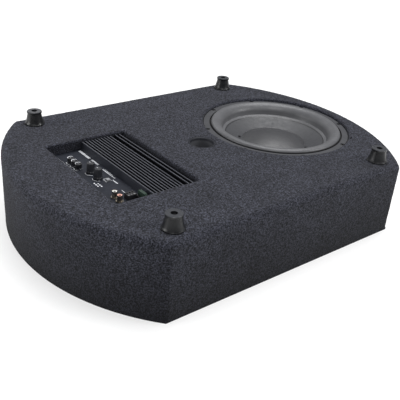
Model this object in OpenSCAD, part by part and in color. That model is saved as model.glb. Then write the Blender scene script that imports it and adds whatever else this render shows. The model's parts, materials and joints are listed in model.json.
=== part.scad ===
// Powered car subwoofer: a flat carpeted box with two bowed ends, a shallow driver and
// a countersunk amplifier on one broad face, and four rubber feet on that same face.
// Frame: origin at the centre of the broad back face, +X from amplifier to driver,
// +Z out through the driver. Millimetres.

/* [Box] */
// Length over the two bowed ends
box_length = 664; // [650:1:700]
// Width across the two straight sides
box_width = 470; // [460:1:490]
// Thickness of the box without its feet
box_height = 127; // [125:1:135]
// How far each end bows out past the straight sides
end_bow = 94; // [85:1:100]
// Thickness of the board that carries the driver, and of the side walls
board = 15; // [12:0.5:15]
// Thickness of the back board
back_board_thickness = 12; // [9:0.5:12]
// Thickness of the carpet
carpet = 3; // [2.5:0.1:3.5]
// Radius of the board's outer edge under the carpet
edge_radius = 8; // [5:0.5:10]

/* [Driver] */
// Distance from the box's centre to the driver's axis
driver_x = 172; // [168:1:176]
// Radius of the trim ring
trim_radius = 135; // [134:0.5:136]
// Radius of the circle of mounting screws
driver_screw_circle = 131; // [130.5:0.1:131.5]
// Number of mounting screws
driver_screws_count = 8; // [4:1:8]
// How far the cone moves each way
cone_travel = 8; // [4:0.5:8]
// Height of the dust cap's dome
dust_cap_rise = 13; // [8:0.5:15]

/* [Port] */
// Distance from the box's centre to the port's axis
port_x = -3; // [-6:1:0]
// Inner radius of the port tube
port_radius = 19.5; // [17:0.5:19.5]
// Depth of the port below the carpet
port_length = 80; // [60:1:90]

/* [Amplifier recess] */
// Length of the recess opening along the box
recess_length = 147; // [144:1:150]
// Width of the recess opening across the box
recess_width = 216; // [214:1:218]
// Distance from the box's centre to the middle of the recess
recess_x = -167.5; // [-169:0.5:-166]
// Distance from the box's centre line to the middle of the recess
recess_y = -2; // [-4:1:4]
// Number of fins in the heatsink's main bank
fin_count = 10; // [8:1:10]
// Pitch of the heatsink's fins
fin_pitch = 5.9; // [5.5:0.1:6]

/* [Feet] */
// Distance from the box's centre to a foot along the box
foot_x = 212; // [200:1:214]
// Distance from the box's centre to a foot across the box
foot_y = 204; // [200:1:205]
// Height of a foot
foot_height = 23; // [20:0.5:26]
// Radius of a foot where it meets the box
foot_base_radius = 17; // [14:0.5:17]
// Radius of a foot's flat end
foot_tip_radius = 12.6; // [11:0.1:13]

/* [Hidden] */
$fn = 96;
big_fn = 360;
eps = 0.01;
glue = 0.05;          // bond line between glued pieces on different bodies

// Box: a straight-sided slab cut by two large discs
end_radius = (pow(box_width / 2, 2) + pow(end_bow, 2)) / (2 * end_bow);
end_centre = end_radius - box_length / 2;
top_z = box_height;
board_top = top_z - carpet;
board_bottom = board_top - board;
back_top = carpet + back_board_thickness;
wall_outer = box_width / 2 - carpet;
wall_inner = wall_outer - board;
brace_x = 36;
brace_thickness = 12;
brace_window = [110, 55];
brace_window_y = 95;

// Recess: an opening lined with carpet; the amplifier's panel is screwed under the board
lining = 2;
gasket_thickness = 1;
panel_top = board_bottom - gasket_thickness;
panel_thickness = 2;
panel_bottom = panel_top - panel_thickness;
hole_length = recess_length + 2 * lining;
hole_width = recess_width + 2 * lining;
flange_width = 13;

// Heatsink
sink_left = recess_x - 9;
sink_right = recess_x + recess_length / 2 - 4;
sink_half = recess_width / 2 - 1;
sink_top = top_z - 4.5;
sink_base = 4;
fin_thickness = 1.8;
fin_start = sink_left + 1.8;
edge_fins = [sink_right - 13, sink_right - 5.5];
sink_screw_x = sink_right - 18.4;

// Amplifier inside the box
tray_wall = 1.2;
tray_length = hole_length - 12;
tray_width = hole_width - 12;
tray_bottom = 46;
pcb_bottom = panel_bottom - 14;
pcb_thickness = 1.6;
pcb_top = pcb_bottom + pcb_thickness;
pcb_size = [tray_length - 10, tray_width - 10];

// Controls on the panel
shaft_r = 3;
running_gap = 0.05;
bushing_r = 4;
trimmer_x = -215.5;
trimmer_y = [68.7, 56.3, 43.9];
trimmer_r = 5.5;
trimmer_top = panel_top + 9.5;
dial_x = -206;
dial_y = [21.8, -0.7];
dial_r = 7.2;
dial_top = panel_top + 18;
switch_x = -196.5;
switch_y = -12;
switch_travel = 4;
slider_size = [2.6, 3];
rca_x = -216;
rca_y = [-65, -79];
rca_r = 4.15;
rca_top = panel_top + 11;
rca_socket = 9;
terminal_x = -197.3;
terminal_y = -79;
terminal_size = [14.6, 12, 8.5];
terminal_pitch = 4.7;
wire_r = 1.75;
wire_depth = 4;
wire_y = 2.7;
clamp_size = [3.7, 9.4];
clamp_base = panel_top + 0.6;
clamp_top = panel_top + 5.6;
fuse_x = -185.5;
fuse_y = -92.5;

// Driver stack, from the flange down
flange_bottom = top_z - 9.5;
flange_thickness = 2;
flange_top = flange_bottom + flange_thickness;
trim_top = flange_top + 2.5;
baffle_hole = 118.5;
flange_r = trim_radius - 0.5;
trim_inner = 122.3;
surround_outer = 121.5;
roll_outer = 120.5;
roll_inner = 98.5;
roll_drop = 8;        // the inner foot of the roll sits this far below the outer foot
roll_rise = 10;
surround_thickness = 1.4;
cone_rim = 96.5;
cone_neck = 25.6;
cone_neck_z = 84.6;
cone_slope = 0.304;
cone_thickness = 1.2;
cap_r = 59;
former_r = 25.2;
former_wall = 0.35;
coil_r = 26.5;
coil_length = 20;
pole_r = 24.2;
gap_r = 27.5;
yoke_bottom = 20;
yoke_plate = 7;
magnet_height = 17;
plate_height = 6;
magnet_r = 70;
magnet_bottom = yoke_bottom + yoke_plate;
coil_bottom = magnet_bottom + cone_travel + 2;   // clear of the back plate at full travel
plate_bottom = magnet_bottom + magnet_height;
plate_top = plate_bottom + plate_height;
yoke_r = 63;
basket_foot = plate_top;
spider_z = 68;
spider_outer = 74;
eyelet_r = 64.5;
eyelet_angles = [142, -67];
terminal_board_r = 79;
window_count = 8;
window_phase = 15;

carpet_colour = [0.13, 0.14, 0.16];
mdf_colour = [0.62, 0.47, 0.32];
black_plastic = [0.07, 0.07, 0.08];
steel_colour = [0.55, 0.56, 0.58];
black_steel = [0.12, 0.12, 0.13];
rubber_colour = [0.18, 0.18, 0.19];
copper_colour = [0.72, 0.4, 0.2];
gold_colour = [0.83, 0.66, 0.3];

// ---- shared shapes ----

// A tube of wall thickness (outer - inner) from z0 to z1
module ring(outer, inner, z0, z1) {
    translate([0, 0, z0]) difference() {
        cylinder(r = outer, h = z1 - z0);
        translate([0, 0, -1]) cylinder(r = inner, h = z1 - z0 + 2);
    }
}

// A box centred in X and Y on a point, from z0 to z1
module block(x, y, size_x, size_y, z0, z1) {
    translate([x - size_x / 2, y - size_y / 2, z0]) cube([size_x, size_y, z1 - z0]);
}

// The box's outline pulled in by an inset, as a slab whose upper edge is rounded
module slab(z0, z1, inset, radius) {
    half = box_width / 2 - inset;
    disc = end_radius - inset;
    intersection() {
        rotate([90, 0, 90]) translate([0, 0, -box_length / 2 - 1])
            linear_extrude(height = box_length + 2) {
                translate([-half, z0]) square([2 * half, z1 - z0 - radius]);
                translate([-half + radius, z0]) square([2 * (half - radius), z1 - z0]);
                for (side = [-1, 1])
                    translate([side * (half - radius), z1 - radius]) circle(r = radius);
            }
        intersection_for(side = [-1, 1])
            translate([-side * end_centre, 0, 0]) rounded_disc(disc, z0, z1, radius);
    }
}

// A large disc with a rounded upper rim
module rounded_disc(disc, z0, z1, radius) {
    rotate_extrude($fn = big_fn) {
        translate([0, z0]) square([disc, z1 - z0 - radius]);
        translate([0, z0]) square([disc - radius, z1 - z0]);
        translate([disc - radius, z1 - radius]) circle(r = radius, $fn = 48);
    }
}

// Both end discs at once, without rounding
module end_discs(radius, z0, z1) {
    intersection_for(side = [-1, 1])
        translate([-side * end_centre, 0, z0]) cylinder(r = radius, h = z1 - z0, $fn = big_fn);
}

module at_driver() { translate([driver_x, 0, 0]) children(); }

module at_driver_screws() {
    at_driver() for (i = [0 : driver_screws_count - 1])
        rotate(180 / driver_screws_count + i * 360 / driver_screws_count)
            translate([driver_screw_circle, 0, 0]) children();
}

module at_feet() {
    for (x = [-foot_x, foot_x], y = [-foot_y, foot_y]) translate([x, y, 0]) children();
}

// Screws from below through the panel's flange into the board
module at_panel_screws() {
    reach_x = hole_length / 2 + flange_width / 2;
    reach_y = hole_width / 2 + flange_width / 2;
    for (x = [-1, 0, 1], y = [-1, 0, 1])
        if (x != 0 || y != 0)
            translate([recess_x + x * reach_x, recess_y + y * reach_y, 0]) children();
}

// Screws in the heatsink's wide channel
module at_sink_screws() {
    for (k = [-1, 0, 1])
        translate([sink_screw_x, recess_y + k * (sink_half - 8), 0]) children();
}

// Tube swept along a smooth curve through a few points
function unit(v) = v / norm(v);
function curve_point(p, i, t) = let (
        a = p[max(i - 1, 0)], b = p[i], c = p[i + 1], d = p[min(i + 2, len(p) - 1)])
    0.5 * (2 * b + (c - a) * t + (2 * a - 5 * b + 4 * c - d) * t * t
        + (3 * b - a - 3 * c + d) * t * t * t);
function smooth_path(p, steps) = concat(
    [for (i = [0 : len(p) - 2], k = [0 : steps - 1]) curve_point(p, i, k / steps)],
    [p[len(p) - 1]]);

module tube_along(points, radius, sides, up) {
    n = len(points);
    rings = [for (i = [0 : n - 1]) let (
            along = unit(points[min(i + 1, n - 1)] - points[max(i - 1, 0)]),
            across = unit(cross(along, up)), over = cross(across, along))
        for (k = [0 : sides - 1]) let (a = 360 * k / sides)
            points[i] + radius * (cos(a) * across + sin(a) * over)];
    polyhedron(points = rings, faces = concat(
        [[for (k = [0 : sides - 1]) k]],
        [for (i = [0 : n - 2], k = [0 : sides - 1]) let (m = (k + 1) % sides)
            [i * sides + k, (i + 1) * sides + k, (i + 1) * sides + m, i * sides + m]],
        [[for (k = [sides - 1 : -1 : 0]) (n - 1) * sides + k]]));
}

// ---- box ----

module baffle_board() {
    color(mdf_colour) difference() {
        intersection() {
            slab(board_bottom - 20, board_top, carpet, edge_radius);
            block(0, 0, box_length, box_width, board_bottom, board_top + 1);
        }
        translate([driver_x, 0, board_bottom - 1]) cylinder(r = baffle_hole, h = board + 2);
        translate([driver_x, 0, flange_bottom - gasket_thickness])
            cylinder(r = trim_radius + 1, h = board);
        translate([port_x, 0, board_bottom - 1]) cylinder(r = port_radius + 2, h = board + 2);
        block(recess_x, recess_y, hole_length, hole_width, board_bottom - 1, board_top + 1);
        at_panel_screws() translate([0, 0, board_bottom - 1]) cylinder(r = 1.6, h = 12);
        at_feet() translate([0, 0, board_bottom - 1]) cylinder(r = 2.4, h = board + 2);
        at_driver_screws() translate([0, 0, board_bottom - 1]) cylinder(r = 2, h = board + 2);
    }
}

module back_board() {
    color(mdf_colour) intersection() {
        block(0, 0, box_length, 2 * wall_outer, carpet, back_top);
        end_discs(end_radius - carpet, carpet, back_top);
    }
}

module straight_wall(side) {
    color(mdf_colour) intersection() {
        block(0, side * (wall_outer - board / 2), box_length, board, back_top, board_bottom);
        end_discs(end_radius - carpet, back_top, board_bottom);
    }
}

module front_wall() { straight_wall(-1); }

module rear_wall() { straight_wall(1); }

module bowed_wall(side) {
    color(mdf_colour) intersection() {
        translate([-side * end_centre, 0, back_top]) difference() {
            cylinder(r = end_radius - carpet, h = board_bottom - back_top, $fn = big_fn);
            translate([0, 0, -1])
                cylinder(r = end_radius - carpet - board, h = box_height, $fn = big_fn);
        }
        block(side * box_length / 2, 0, box_length - 200, 2 * wall_inner, back_top, board_bottom);
    }
}

module amp_end_wall() { bowed_wall(-1); }

module driver_end_wall() { bowed_wall(1); }

module brace_board() {
    color(mdf_colour) difference() {
        block(brace_x, 0, brace_thickness, 2 * wall_inner, back_top, board_bottom);
        for (side = [-1, 1])
            block(brace_x, side * brace_window_y, brace_thickness + 2, brace_window[0],
                (back_top + board_bottom - brace_window[1]) / 2,
                (back_top + board_bottom + brace_window[1]) / 2);
    }
}

module cover_carpet() {
    color(carpet_colour) difference() {
        slab(carpet, top_z, 0, edge_radius + carpet);
        slab(carpet - 5, board_top, carpet, edge_radius);
        translate([driver_x, 0, board_top - 5]) cylinder(r = trim_radius + 1, h = 20);
        translate([port_x, 0, board_top - 5]) cylinder(r = port_radius + 4.5, h = 20);
        block(recess_x, recess_y, recess_length, recess_width, board_top - 5, top_z + 5);
        at_feet() translate([0, 0, board_top - 5]) cylinder(r = 2.6, h = 20);
    }
}

module bottom_carpet() {
    color(carpet_colour) intersection() {
        block(0, 0, box_length, box_width, 0, carpet);
        end_discs(end_radius, 0, carpet);
    }
}

module recess_carpet() {
    color(carpet_colour) difference() {
        block(recess_x, recess_y, hole_length, hole_width, board_bottom, board_top);
        block(recess_x, recess_y, recess_length, recess_width, board_bottom - 1, board_top + 1);
    }
}

// ---- port ----

module port_tube() {
    lip = 4.5;
    bottom = top_z - port_length;
    color(black_plastic) translate([port_x, 0, 0]) rotate_extrude() difference() {
        union() {
            translate([port_radius, bottom]) square([2, board_top - bottom]);
            translate([port_radius, board_top]) square([lip, 2.4]);
        }
        translate([port_radius, board_top + 2.4]) difference() {
            translate([-1, -3]) square([4, 4]);
            translate([3, -3]) circle(r = 3, $fn = 32);
        }
    }
}

// ---- feet ----

foot_seat = 12;       // thickness of rubber under the washer
washer_thickness = 1.2;
screw_head = 2.8;

module feet() {
    waist = foot_tip_radius - 1.1;
    waist_z = foot_height - 4;
    flare = foot_base_radius - 0.6 - waist;
    profile = concat(
        [[2.5, 0], [foot_base_radius, 0], [foot_base_radius, 1.5]],
        [for (t = [0 : 0.125 : 1]) [waist + flare * (1 - pow(t, 0.7)), 2 + (waist_z - 2) * t]],
        [[foot_tip_radius, foot_height - 3.2],
         [foot_tip_radius, foot_height - 0.8], [foot_tip_radius - 0.8, foot_height],
         [5, foot_height], [5, foot_seat], [2.5, foot_seat]]);
    color(rubber_colour) at_feet() translate([0, 0, top_z])
        rotate_extrude() polygon(profile);
}

module foot_washers() {
    color(steel_colour) at_feet()
        ring(4.8, 2.5, top_z + foot_seat, top_z + foot_seat + washer_thickness);
}

module foot_screws() {
    head_z = top_z + foot_seat + washer_thickness;
    tip_z = board_bottom + 2;
    color(steel_colour) at_feet() difference() {
        union() {
            translate([0, 0, head_z]) cylinder(r1 = 4.4, r2 = 3.2, h = screw_head);
            translate([0, 0, tip_z + 5]) cylinder(r = 2.35, h = head_z - tip_z - 5 + eps);
            translate([0, 0, tip_z]) cylinder(r1 = 0.6, r2 = 2.35, h = 5 + eps);
        }
        for (turn = [0, 90]) rotate(turn)
            block(0, 0, 4, 1, head_z + screw_head - 1.5, head_z + screw_head + 1);
    }
}

// ---- driver ----

// Height of the cone's upper face at a radius
function cone_z(r) = cone_neck_z + cone_slope * (r - cone_neck);

// Stamped basket: flange, short wall, open cone of spokes, spider ledge and foot ring
module driver_frame() {
    wall = 1.6;
    rim_z = flange_bottom - 10;
    profile = [
        [baffle_hole - 3.5, flange_top], [flange_r, flange_top], [flange_r, flange_bottom],
        [baffle_hole - 0.7, flange_bottom], [baffle_hole - 0.9, rim_z - 2],
        [79, spider_z - 2], [79, spider_z - 6], [66, basket_foot + 1.6],
        [66, basket_foot], [40, basket_foot], [40, basket_foot + wall],
        [64, basket_foot + wall], [77, spider_z - 5], [66, spider_z - 5 + 2],
        [66, spider_z - 1], [77, spider_z - 1], [baffle_hole - 0.9 - wall * 1.6, rim_z],
        [baffle_hole - 3.5, flange_bottom]];
    color(black_steel) difference() {
        at_driver() difference() {
            rotate_extrude() polygon(profile);
            for (i = [0 : window_count - 1])
                rotate(window_phase + i * 360 / window_count) basket_window(rim_z);
        }
        at_driver_screws() translate([0, 0, flange_bottom - 1]) cylinder(r = 2.3, h = 5);
    }
}

// One opening between two spokes of the basket
module basket_window(rim_z) {
    width = 240 / window_count;
    translate([0, 0, spider_z + 2]) rotate(-width / 2) rotate_extrude(angle = width)
        translate([80, 0]) square([45, rim_z - spider_z - 6]);
}

module driver_gasket() {
    color([0.05, 0.05, 0.05]) difference() {
        at_driver() ring(flange_r, baffle_hole + 0.5, flange_bottom - gasket_thickness,
            flange_bottom);
        at_driver_screws() translate([0, 0, flange_bottom - 3]) cylinder(r = 2.3, h = 5);
    }
}

module trim_ring() {
    color(rubber_colour) difference() {
        at_driver() rotate_extrude() polygon([
            [trim_inner, flange_top], [trim_radius, flange_top],
            [trim_radius, trim_top - 1], [trim_radius - 1, trim_top],
            [trim_inner + 0.8, trim_top], [trim_inner, trim_top - 0.8]]);
        at_driver_screws() translate([0, 0, flange_top - 1]) {
            cylinder(r = 4.2, h = 6);
            translate([0, -4.2, 0]) cube([8, 8.4, 6]);
        }
    }
}

module driver_screws() {
    tip_z = board_bottom + 3;
    color([0.04, 0.04, 0.04]) at_driver_screws() difference() {
        union() {
            translate([0, 0, flange_top]) cylinder(r1 = 3.9, r2 = 2.9, h = 2.2);
            translate([0, 0, tip_z]) cylinder(r = 1.95, h = flange_top - tip_z + eps);
        }
        translate([0, 0, flange_top + 1]) cylinder(r = 1.5, h = 3, $fn = 6);
    }
}

// Height of the roll's outer face at an angle round its half circle
function roll_point(angle, offset) = let (
        mid = (roll_outer + roll_inner) / 2, half = (roll_outer - roll_inner) / 2 - offset,
        tilt = (1 - cos(angle)) / 2)
    [mid + half * cos(angle), flange_top + 0.8 - roll_drop * tilt
        + (roll_rise - offset) * sin(angle)];

module surround() {
    steps = [0 : 12 : 180];
    landing = cone_rim - 4;
    color([0.3, 0.3, 0.31]) at_driver() rotate_extrude() polygon(concat(
        [[surround_outer, flange_top], [surround_outer, flange_top + 0.8]],
        [for (a = steps) roll_point(a, 0)],
        [[landing, cone_z(landing) + glue + surround_thickness],
         [landing, cone_z(landing) + glue],
         [cone_rim + 0.4, cone_z(cone_rim + 0.4) + glue]],
        [for (k = [0 : 14]) roll_point(180 - 12 * k, surround_thickness)],
        [[roll_outer - 3, flange_top]]));
}

module cone() {
    color([0.16, 0.16, 0.17]) at_driver() difference() {
        rotate_extrude() polygon([
            [cone_neck, cone_z(cone_neck)], [cone_neck, cone_z(cone_neck) - 4],
            [cone_neck + 1, cone_z(cone_neck) - 4],
            [cone_neck + 2.5, cone_z(cone_neck + 2.5) - cone_thickness],
            [cone_rim, cone_z(cone_rim) - cone_thickness], [cone_rim, cone_z(cone_rim)]]);
        for (angle = eyelet_angles) rotate(angle) translate([eyelet_r, 0, cone_z(eyelet_r) - 5])
            cylinder(r = 1.6, h = 10);
    }
}

module dust_cap() {
    rise = dust_cap_rise;
    outer = (cap_r * cap_r + rise * rise) / (2 * rise);
    base = cone_z(cap_r);
    color([0.14, 0.14, 0.15]) at_driver() intersection() {
        translate([0, 0, base + rise - outer]) difference() {
            sphere(r = outer, $fn = 200);
            sphere(r = outer - 0.9, $fn = 200);
        }
        translate([0, 0, base]) cylinder(r = cap_r + 5, h = rise + 1);
    }
}

module coil_former() {
    color([0.5, 0.4, 0.25]) at_driver()
        ring(former_r + former_wall, former_r, coil_bottom, cone_neck_z + 1);
}

module voice_coil() {
    color(copper_colour) at_driver()
        ring(coil_r, former_r + former_wall, coil_bottom, coil_bottom + coil_length);
}

// Corrugated damper between the former and the basket's ledge
module spider() {
    inner = former_r + former_wall + glue;
    ripple_start = inner + 4;
    ripple_end = spider_outer - 7;
    step = 1;
    count = floor((ripple_end - ripple_start) / step);
    function wave(k) = 1.6 * sin(360 * 4 * k / count);
    upper = [for (k = [0 : count]) [ripple_start + k * step, spider_z + 0.6 + wave(k)]];
    lower = [for (k = [count : -1 : 0]) [ripple_start + k * step, spider_z + wave(k)]];
    color([0.72, 0.66, 0.45]) at_driver() rotate_extrude() polygon(concat(
        [[inner, spider_z], [inner, spider_z + 0.6]], upper,
        [[spider_outer, spider_z + 0.6 - 0.8], [spider_outer, spider_z - 0.9]], lower));
}

module top_plate() { color(steel_colour) at_driver() ring(yoke_r, gap_r, plate_bottom, plate_top); }

module magnet() { color([0.22, 0.22, 0.23]) at_driver() ring(magnet_r, 33, magnet_bottom, plate_bottom); }

module yoke() {
    color(steel_colour) at_driver() difference() {
        union() {
            translate([0, 0, yoke_bottom]) cylinder(r = yoke_r, h = yoke_plate);
            translate([0, 0, yoke_bottom]) cylinder(r = pole_r, h = plate_top - yoke_bottom);
        }
        translate([0, 0, yoke_bottom - 1]) cylinder(r = 8, h = box_height);
    }
}

module lead_eyelets() {
    color(steel_colour) at_driver() for (angle = eyelet_angles) rotate(angle)
        translate([eyelet_r, 0, cone_z(eyelet_r)]) {
            translate([0, 0, 0.85]) cylinder(r = 2.6, h = 0.8);
            translate([0, 0, -4]) cylinder(r = 1.5, h = 4.9);
        }
}

module speaker_terminals() {
    color(gold_colour) at_driver() for (angle = eyelet_angles) rotate(angle) {
        translate([terminal_board_r, -12, basket_foot + 3]) cube([2.6, 24, 12]);
        for (y = [-7, 0.7]) translate([terminal_board_r + 2.6, y, basket_foot + 7])
            cube([9, 6.3, 0.8]);
    }
}

// Flexible leads from the terminal boards through the basket to the cone
module tinsel_leads() {
    from = [terminal_board_r + 5, 0, basket_foot + 9];
    color(copper_colour) at_driver() for (angle = eyelet_angles) rotate(angle)
        tube_along(smooth_path([
            from + [0, 3, 0], from + [1, 3, 7], [84, 2, 72], [79, 1, 80], [71, 0, 84],
            [eyelet_r + 1, 0, 86], [eyelet_r, 0, cone_z(eyelet_r) - 4.1]], 3),
            0.8, 8, [0, 1, 0]);
}

// Two wires from the amplifier's tray to the driver's terminal boards
module speaker_wires() {
    start_x = recess_x + tray_length / 2 + 0.2;
    end_a = driver_x + (terminal_board_r + 11.8) * cos(eyelet_angles[0]);
    end_ya = (terminal_board_r + 11.8) * sin(eyelet_angles[0]);
    end_b = driver_x + (terminal_board_r + 11.8) * cos(eyelet_angles[1]);
    end_yb = (terminal_board_r + 11.8) * sin(eyelet_angles[1]);
    end_z = basket_foot + 7.4;
    color([0.6, 0.1, 0.1]) {
        tube_along(smooth_path([[start_x, 40, 60], [-60, 42, 58], [-10, 50, 48], [36, 56, 42],
            [70, 62, 48], [end_a - 8, end_ya + 7, end_z], [end_a, end_ya, end_z]], 4),
            1.6, 8, [0, 0, 1]);
        tube_along(smooth_path([[start_x, -40, 60], [-60, -44, 58], [-10, -56, 46],
            [36, -70, 40], [110, -108, 40], [170, -116, 46],
            [end_b - 4, end_yb - 12, end_z], [end_b, end_yb, end_z]], 4),
            1.6, 8, [0, 0, 1]);
    }
}

// ---- amplifier ----

module amp_panel() {
    color(black_plastic) difference() {
        block(recess_x, recess_y, hole_length + 2 * flange_width, hole_width + 2 * flange_width,
            panel_bottom, panel_top);
        block((sink_left + sink_right) / 2, recess_y, sink_right - sink_left - 48,
            2 * sink_half - 60, panel_bottom - 1, panel_top + 1);
        translate([0, 0, panel_bottom - 1]) {
            for (y = trimmer_y) translate([trimmer_x, y, 0]) cylinder(r = bushing_r + 0.1, h = 5);
            for (y = dial_y) translate([dial_x, y, 0]) cylinder(r = bushing_r + 0.1, h = 5);
            for (y = rca_y) translate([rca_x, y, 0]) cylinder(r = rca_r + 0.1, h = 5);
            at_panel_screws() cylinder(r = 1.9, h = 5);
            at_sink_screws() cylinder(r = 1.6, h = 5);
        }
        block(switch_x, switch_y, slider_size[0] + 1, slider_size[1] + switch_travel + 1,
            panel_bottom - 1, panel_top + 1);
    }
}

// Foam seal between the panel's flange and the board
module amp_gasket() {
    color([0.05, 0.05, 0.05]) difference() {
        block(recess_x, recess_y, hole_length + 2 * flange_width, hole_width + 2 * flange_width,
            panel_top, board_bottom);
        block(recess_x, recess_y, hole_length, hole_width, panel_top - 1, board_bottom + 1);
        at_panel_screws() translate([0, 0, panel_top - 1]) cylinder(r = 1.9, h = 5);
    }
}

module heatsink_profile() {
    translate([sink_left, panel_top]) square([sink_right - sink_left, sink_base]);
    polygon([[sink_left - 1.5, panel_top], [fin_start + 1.2, panel_top],
        [fin_start + fin_thickness / 2, sink_top], [fin_start - fin_thickness / 2, sink_top]]);
    for (i = [1 : fin_count - 1])
        translate([fin_start + i * fin_pitch - fin_thickness / 2, panel_top])
            square([fin_thickness, sink_top - panel_top]);
    for (x = edge_fins) translate([x - fin_thickness / 2, panel_top])
        square([fin_thickness, sink_top - panel_top]);
}

module heatsink() {
    color(black_plastic) difference() {
        translate([0, recess_y, 0]) rotate([90, 0, 0]) translate([0, 0, -sink_half])
            linear_extrude(height = 2 * sink_half) heatsink_profile();
        at_sink_screws() translate([0, 0, panel_top - 1]) cylinder(r = 1.9, h = sink_base + 2);
    }
}

module amp_chassis() {
    color(steel_colour) difference() {
        block(recess_x, recess_y, tray_length, tray_width, tray_bottom, panel_bottom);
        block(recess_x, recess_y, tray_length - 2 * tray_wall, tray_width - 2 * tray_wall,
            tray_bottom + tray_wall, panel_bottom + 1);
    }
}

// Pan-head screw pointing down, with its head's underside at z = 0 and a cross recess
module amp_screw(shank) {
    difference() {
        union() {
            cylinder(r1 = 3.3, r2 = 2.4, h = 1.8);
            translate([0, 0, -shank]) cylinder(r = 1.55, h = shank + eps);
        }
        for (turn = [0, 90]) rotate(turn) block(0, 0, 3.2, 0.8, 0.8, 3);
    }
}

module amp_screws() {
    color([0.2, 0.2, 0.21]) {
        at_panel_screws() translate([0, 0, panel_bottom]) mirror([0, 0, 1]) amp_screw(12);
        at_sink_screws() translate([0, 0, panel_top + sink_base]) amp_screw(8);
    }
}

module circuit_board() {
    color([0.08, 0.3, 0.16]) block(recess_x, recess_y, pcb_size[0], pcb_size[1], pcb_bottom, pcb_top);
}

module capacitors() {
    color([0.1, 0.12, 0.2]) for (x = [-1, 0, 1], y = [0, 1, 2])
        translate([recess_x - 22 + 22 * x, -60 + 22 * y, pcb_bottom - 32])
            cylinder(r = 8, h = 32);
}

module transformer() {
    color(copper_colour) translate([recess_x + 2, 52, pcb_bottom - 9.5])
        rotate_extrude() translate([17, 0]) circle(r = 9.5, $fn = 48);
}

module power_transistors() {
    color([0.09, 0.09, 0.1]) for (y = [-62 : 24.8 : 62]) {
        x = (sink_left + sink_right) / 2;
        block(x, y, 15, 10, panel_top - 4.6, panel_top);
        for (k = [-1, 0, 1]) block(x - 10.5, y + 2.54 * k, 6, 0.9, panel_top - 3, panel_top - 2.2);
        for (k = [-1, 0, 1]) block(x - 13, y + 2.54 * k, 1, 0.9, pcb_top, panel_top - 2.2);
    }
}

// Potentiometer bodies under the panel with their threaded bushings through it
module pot_bushing(x, y, body, bushing_top) {
    translate([x, y, 0]) difference() {
        union() {
            block(0, 0, body, body, pcb_top, panel_bottom);
            translate([0, 0, panel_bottom - eps])
                cylinder(r = bushing_r, h = bushing_top - panel_bottom + eps);
            ring(bushing_r + 1.6, bushing_r - eps, panel_top, panel_top + 1);
        }
        translate([0, 0, pcb_top + 3]) cylinder(r = shaft_r + running_gap, h = 60);
    }
}

module potentiometers() {
    color(steel_colour) {
        for (y = trimmer_y) pot_bushing(trimmer_x, y, 11, panel_top + 1.4);
        for (y = dial_y) pot_bushing(dial_x, y, 12, panel_top + 3);
    }
}

// Slotted trimmer: a shaft in the bushing with a small dished head
module trimmer(y) {
    color(black_plastic) translate([trimmer_x, y, 0]) difference() {
        union() {
            translate([0, 0, pcb_top + 3.4]) cylinder(r = shaft_r, h = trimmer_top - pcb_top - 4);
            translate([0, 0, panel_top + 1.9]) cylinder(r = trimmer_r, h = trimmer_top - panel_top - 1.9);
        }
        translate([0, 0, trimmer_top - 0.8]) cylinder(r = trimmer_r - 0.9, h = 2);
        block(0, 0, 1.1, 2 * trimmer_r + 1, trimmer_top - 2.6, trimmer_top + 1);
    }
}

module gain_trimmer() { trimmer(trimmer_y[0]); }

module low_pass_trimmer() { trimmer(trimmer_y[1]); }

module subsonic_trimmer() { trimmer(trimmer_y[2]); }

// Tall knob with a pointer groove, hollow over the bushing and bored for the shaft
module dial(y) {
    color([0.11, 0.11, 0.12]) translate([dial_x, y, 0]) difference() {
        union() {
            translate([0, 0, panel_top + 1.5]) cylinder(r = dial_r, h = 2.5);
            translate([0, 0, panel_top + 4 - eps])
                cylinder(r1 = dial_r - 0.3, r2 = dial_r - 0.8, h = dial_top - panel_top - 4 + eps);
        }
        translate([0, 0, panel_top + 1]) cylinder(r = bushing_r + 0.6, h = 3);
        translate([0, 0, panel_top + 1]) cylinder(r = shaft_r, h = dial_top - panel_top - 3);
        block(0, dial_r / 2 + 1, 0.9, dial_r, dial_top - 0.8, dial_top + 1);
    }
}

module dial_shaft(y) {
    color(steel_colour) translate([dial_x, y, pcb_top + 3.4])
        cylinder(r = shaft_r, h = dial_top - 2.4 - pcb_top - 3.4);
}

module bass_boost_knob() { dial(dial_y[0]); }

module bass_boost_shaft() { dial_shaft(dial_y[0]); }

module phase_knob() { dial(dial_y[1]); }

module phase_shaft() { dial_shaft(dial_y[1]); }

module switch_body() {
    slot_y = slider_size[1] + switch_travel + 0.8;
    color(steel_colour) difference() {
        block(switch_x, switch_y, 6, 14, pcb_top, panel_bottom);
        block(switch_x, switch_y, slider_size[0] + 0.8, slot_y, pcb_top + 4, panel_bottom + 1);
    }
}

module switch_slider() {
    color([0.85, 0.85, 0.84]) {
        block(switch_x, switch_y - switch_travel / 2, slider_size[0], slider_size[1],
            pcb_top + 4.4, panel_top + 1);
        block(switch_x, switch_y - switch_travel / 2, 5.4, 6, panel_top + 0.4, panel_top + 3);
    }
}

module rca_shells() {
    color(gold_colour) for (y = rca_y) translate([rca_x, y, 0]) {
        ring(rca_r, rca_r - 0.5, panel_bottom - 6, rca_top);
        ring(rca_r + 1.6, rca_r - eps, panel_top, panel_top + 1.4);
    }
}

module rca_insulator(y) {
    translate([rca_x, y, 0])
        ring(rca_r - 0.5, 1.9, pcb_top, rca_top - 0.6);
}

module rca_insulator_white() { color([0.9, 0.9, 0.88]) rca_insulator(rca_y[0]); }

module rca_insulator_red() { color([0.75, 0.08, 0.08]) rca_insulator(rca_y[1]); }

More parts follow.
